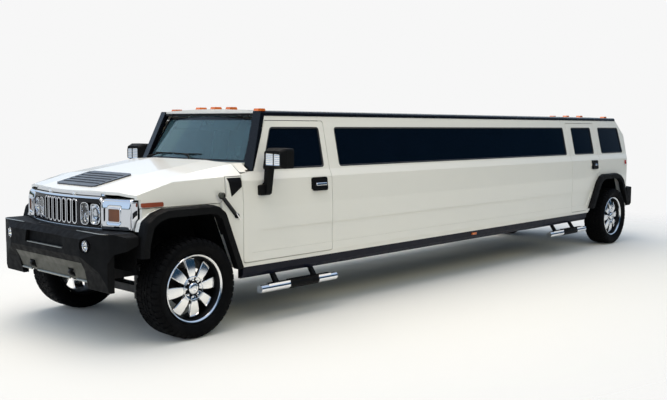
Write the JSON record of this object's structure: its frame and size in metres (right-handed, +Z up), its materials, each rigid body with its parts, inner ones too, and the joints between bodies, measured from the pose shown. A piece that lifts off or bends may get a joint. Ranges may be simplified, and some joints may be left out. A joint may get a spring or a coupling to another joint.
{
  "type": "stretch limousine",
  "caption": "Long-bodied off-road style limousine with a stretched cabin, opening doors, bonnet and tailgate, steered front wheels and rolling wheels.",
  "frame": {"origin": "on the ground, midway along the length and across the width", "axes": "+X forward, +Y to the vehicle's left, +Z up"},
  "size_m": [9.918, 2.48, 2.016],
  "materials": {
    "white_paint": "gloss",
    "black_moulding": "grained",
    "black_gloss": "gloss",
    "dark_glass": "tinted",
    "clear_glass": "clear",
    "chrome": "polished",
    "lamp_glass": "clear",
    "amber_lens": "gloss",
    "red_lens": "gloss",
    "bare_metal": "satin",
    "chassis_black": "satin",
    "iron": "cast",
    "exhaust_steel": "brushed",
    "cabin_lining": "grained",
    "pale_leather": "soft",
    "cabinet": "gloss",
    "tyre_rubber": "rubber"
  },
  "bodies": {
    "body": {"ladder_frame": "chassis_black", "floor_pan": "cabin_lining", "body_side_left": "white_paint", "body_side_right": "white_paint", "roof_panel": "white_paint", "pillars_and_gutters": "black_gloss", "cowl_bulkhead": "white_paint", "windscreen": "clear_glass", "side_glass": "dark_glass", "front_wings": "white_paint", "grille_shell": "chrome", "lamp_housing": "black_gloss", "headlamps": "lamp_glass", "amber_lamps": "amber_lens", "front_bumper": "black_moulding", "skid_plate": "bare_metal", "wheel_liners": "black_moulding", "wheel_flares": "black_moulding", "rockers": "black_gloss", "side_steps": "chrome", "bonnet_latches": "black_moulding", "cowl_vents": "black_moulding", "rear_frame": "white_paint", "rear_bumper": "black_moulding", "tail_lamps": "red_lens", "engine_block": "iron", "front_suspension": "chassis_black", "rear_axle": "iron", "exhaust_and_tank": "exhaust_steel", "dashboard": "cabin_lining", "front_seats": "pale_leather", "saloon_furniture": "cabinet", "saloon_bench": "pale_leather"},
    "bonnet_lid": {"bonnet": "white_paint", "bonnet_vent": "black_moulding", "side_markers": "amber_lens"},
    "tailgate_lid": {"tailgate": "white_paint", "tailgate_glass": "dark_glass"},
    "front_door_body_left": {"front_door_left": "white_paint", "front_door_glass_left": "dark_glass", "front_door_fittings_left": "black_moulding"},
    "rear_door_body_left": {"rear_door_left": "white_paint", "rear_door_glass_left": "dark_glass"},
    "steering_left": {"knuckle_left": "iron"},
    "front_door_body_right": {"front_door_right": "white_paint", "front_door_glass_right": "dark_glass", "front_door_fittings_right": "black_moulding"},
    "rear_door_body_right": {"rear_door_right": "white_paint", "rear_door_glass_right": "dark_glass"},
    "steering_right": {"knuckle_right": "iron"},
    "wheel_front_left": {"rim_front_left": "chrome", "tyre_front_left": "tyre_rubber"},
    "wheel_front_right": {"rim_front_right": "chrome", "tyre_front_right": "tyre_rubber"},
    "wheel_rear_left": {"rim_rear_left": "chrome", "tyre_rear_left": "tyre_rubber"},
    "wheel_rear_right": {"rim_rear_right": "chrome", "tyre_rear_right": "tyre_rubber"}
  },
  "joints": [
    {"name": "front_door_left_hinge", "type": "hinge", "parent": "body", "child": "front_door_body_left", "pos_m": [3.516, 0.96, 1.2], "axis": [0, 0, -1], "range_deg": [0, 68]},
    {"name": "rear_door_left_hinge", "type": "hinge", "parent": "body", "child": "rear_door_body_left", "pos_m": [-2.819, 0.96, 1.2], "axis": [0, 0, -1], "range_deg": [0, 68]},
    {"name": "front_door_right_hinge", "type": "hinge", "parent": "body", "child": "front_door_body_right", "pos_m": [3.516, -0.96, 1.2], "axis": [0, 0, 1], "range_deg": [0, 68]},
    {"name": "rear_door_right_hinge", "type": "hinge", "parent": "body", "child": "rear_door_body_right", "pos_m": [-2.819, -0.96, 1.2], "axis": [0, 0, 1], "range_deg": [0, 68]},
    {"name": "bonnet_hinge", "type": "hinge", "parent": "body", "child": "bonnet_lid", "pos_m": [4.769, 0, 1.244], "axis": [0, 1, 0], "range_deg": [0, 70]},
    {"name": "tailgate_hinge", "type": "hinge", "parent": "body", "child": "tailgate_lid", "pos_m": [-4.55509, 0, 1.89], "axis": [0, 1, 0], "range_deg": [0, 80]},
    {"name": "steer_left", "type": "hinge", "parent": "body", "child": "steering_left", "pos_m": [4.109, 0.722, 0.435], "axis": [0, 0, 1], "range_deg": [-30, 30]},
    {"name": "steer_right", "type": "hinge", "parent": "body", "child": "steering_right", "pos_m": [4.109, -0.722, 0.435], "axis": [0, 0, 1], "range_deg": [-30, 30]},
    {"name": "wheel_front_left_spin", "type": "hinge", "parent": "steering_left", "child": "wheel_front_left", "pos_m": [4.109, 0.8815, 0.435], "axis": [0, 1, 0], "continuous": true},
    {"name": "wheel_rear_left_spin", "type": "hinge", "parent": "body", "child": "wheel_rear_left", "pos_m": [-4.089, 0.8815, 0.435], "axis": [0, 1, 0], "continuous": true},
    {"name": "wheel_front_right_spin", "type": "hinge", "parent": "steering_right", "child": "wheel_front_right", "pos_m": [4.109, -0.8815, 0.435], "axis": [0, 1, 0], "continuous": true},
    {"name": "wheel_rear_right_spin", "type": "hinge", "parent": "body", "child": "wheel_rear_right", "pos_m": [-4.089, -0.8815, 0.435], "axis": [0, 1, 0], "continuous": true}
  ],
  "couplings": [
    {"joint": "steer_right", "follows": "steer_left", "ratio": 1}
  ]
}
